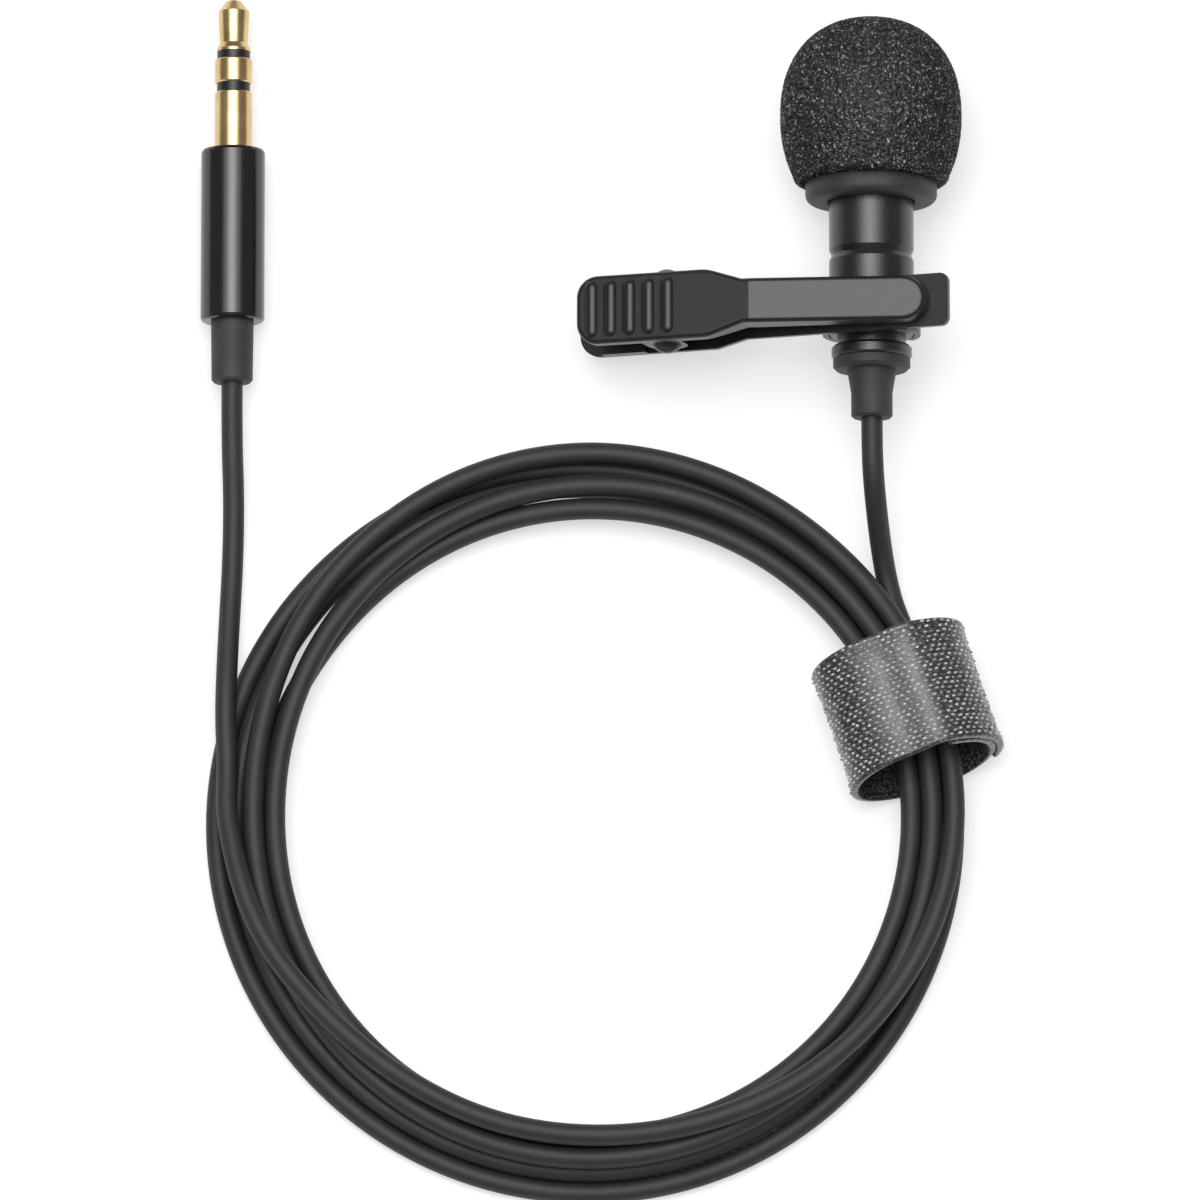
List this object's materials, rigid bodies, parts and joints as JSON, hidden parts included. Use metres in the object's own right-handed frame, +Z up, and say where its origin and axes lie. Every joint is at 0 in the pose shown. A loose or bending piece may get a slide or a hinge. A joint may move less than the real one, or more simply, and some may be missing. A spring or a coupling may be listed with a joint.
{
  "type": "lavalier microphone",
  "caption": "Clip-on lavalier microphone with a round foam windscreen, a sprung tie clip, and a thin lead coiled in a hook-and-loop tie, ending in a small jack plug.",
  "frame": {"origin": "on the resting surface, under the middle of the microphone and its clip", "axes": "+Y along the microphone's axis towards the windscreen, +X from the plug's side to the microphone's side, +Z up off the resting surface"},
  "size_m": [0.0758, 0.1136, 0.0176],
  "materials": {
    "black_satin_metal": "satin",
    "board_laminate": "satin",
    "boot_rubber": "matte",
    "capsule_aluminium": "drawn",
    "clip_steel": "satin black",
    "contact_insulator": "gloss",
    "copper_cores": "stranded",
    "crimp_steel": "plain",
    "diaphragm_metal": "plain",
    "foam": "open-cell foam",
    "foam_collar": "matte",
    "gold_contact": "polished",
    "inner_mould": "matte",
    "lead_jacket": "matte",
    "plug_shell": "gloss black",
    "relief_rubber": "matte",
    "spacer_plastic": "matte",
    "spring_steel": "plain",
    "steel_mesh": "woven",
    "strap_weave": "knitted loop pile"
  },
  "bodies": {
    "root": {"mic_barrel_front": "black_satin_metal", "mic_barrel_rear": "black_satin_metal", "grille_cap": "black_satin_metal", "grille_mesh": "steel_mesh", "capsule_boot": "boot_rubber", "capsule_can": "capsule_aluminium", "capsule_diaphragm": "diaphragm_metal", "capsule_spacer": "spacer_plastic", "capsule_backplate": "diaphragm_metal", "capsule_holder": "spacer_plastic", "capsule_board": "board_laminate", "rear_gland": "black_satin_metal", "mic_strain_relief": "relief_rubber", "lead_end_mic": "lead_jacket", "lead_crimp": "crimp_steel", "mic_core_wires": "copper_cores", "cord_mic_lead": "lead_jacket", "cord_coil": "lead_jacket", "cord_plug_lead": "lead_jacket", "tie_strap": "strap_weave", "tie_hook_tab": "strap_weave", "plug_tip": "gold_contact", "plug_tip_insulator": "contact_insulator", "plug_ring": "gold_contact", "plug_ring_insulator": "contact_insulator", "plug_sleeve": "gold_contact", "plug_barrel": "plug_shell", "plug_inner_mould": "inner_mould", "plug_solder_lugs": "gold_contact", "plug_strain_relief": "relief_rubber", "lead_end_plug": "lead_jacket", "plug_core_wires": "copper_cores"},
    "windscreen": {"windscreen_foam": "foam", "windscreen_collar": "foam_collar"},
    "clip": {"clip_ring": "clip_steel", "ring_rivet": "clip_steel", "clip_rear_lever": "clip_steel", "clip_pin": "clip_steel", "clip_spring": "spring_steel"},
    "jaw": {"clip_front_lever": "clip_steel"}
  },
  "joints": [
    {"name": "windscreen_pull", "type": "slide", "parent": "root", "child": "windscreen", "axis": [0, 1, 0], "range_m": [0, 0.014]},
    {"name": "clip_turn", "type": "hinge", "parent": "root", "child": "clip", "pos_m": [0.0094, -0.0093, 0.0085], "axis": [0, 1, 0], "continuous": true},
    {"name": "jaw_open", "type": "hinge", "parent": "clip", "child": "jaw", "pos_m": [-0.00964, -0.0093, 0.01051], "axis": [0, -1, 0], "range_deg": [0, 25], "stiffness_Nm_per_rad": 0.03, "springref_deg": -34.38, "deforming": ["clip_spring"]}
  ]
}
